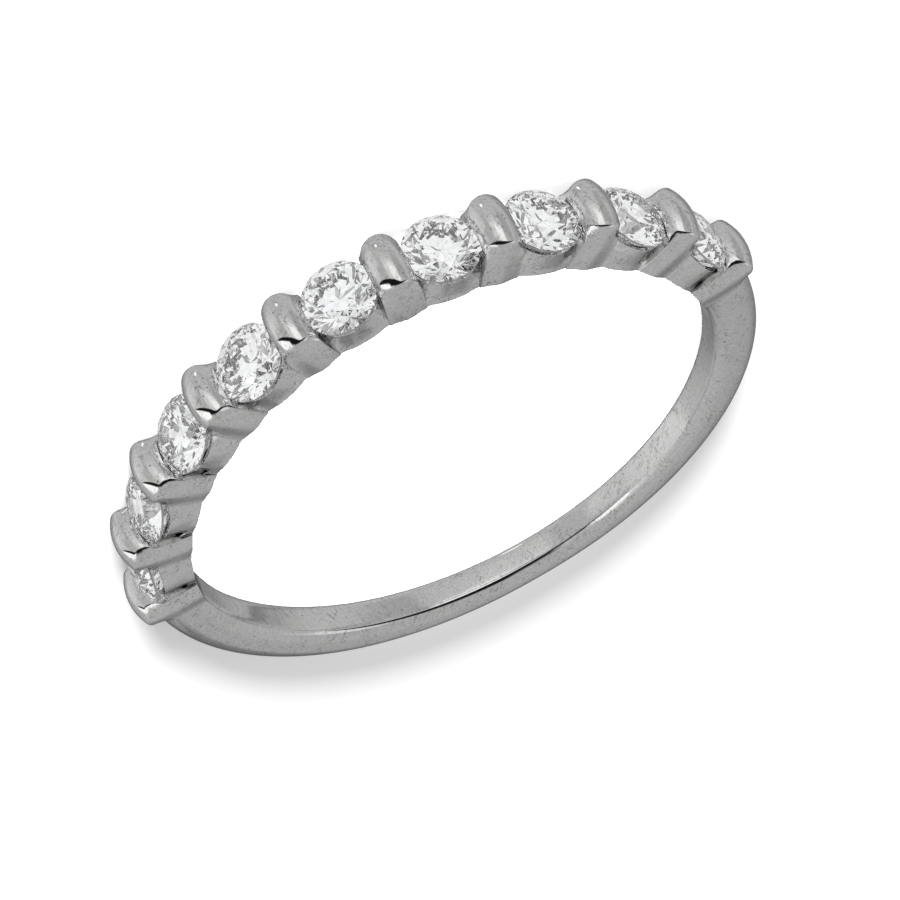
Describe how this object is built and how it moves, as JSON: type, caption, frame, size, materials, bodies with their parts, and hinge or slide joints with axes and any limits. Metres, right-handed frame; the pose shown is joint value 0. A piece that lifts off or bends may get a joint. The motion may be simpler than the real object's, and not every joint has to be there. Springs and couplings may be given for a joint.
{
  "type": "white gold half-eternity ring",
  "caption": "Slim rounded finger ring whose front half carries a row of round faceted stones, held in open cups between raised cross bars.",
  "frame": {"origin": "centre of the finger hole, at half the ring's width", "axes": "+Z along the finger hole's axis and up, away from the surface that the ring lies on; the middle stone faces -Y; the row of stones ends at +X and -X"},
  "size_m": [0.021, 0.0201, 0.0022],
  "materials": {
    "white_gold": "polished white gold, slightly grey, with fine polishing marks",
    "diamond": "clear and colourless, brilliant cut"
  },
  "bodies": {
    "root": {"band": "white_gold", "stone_1": "diamond", "stone_2": "diamond", "stone_3": "diamond", "stone_4": "diamond", "stone_5": "diamond", "stone_6": "diamond", "stone_7": "diamond", "stone_8": "diamond", "stone_9": "diamond"}
  },
  "joints": []
}
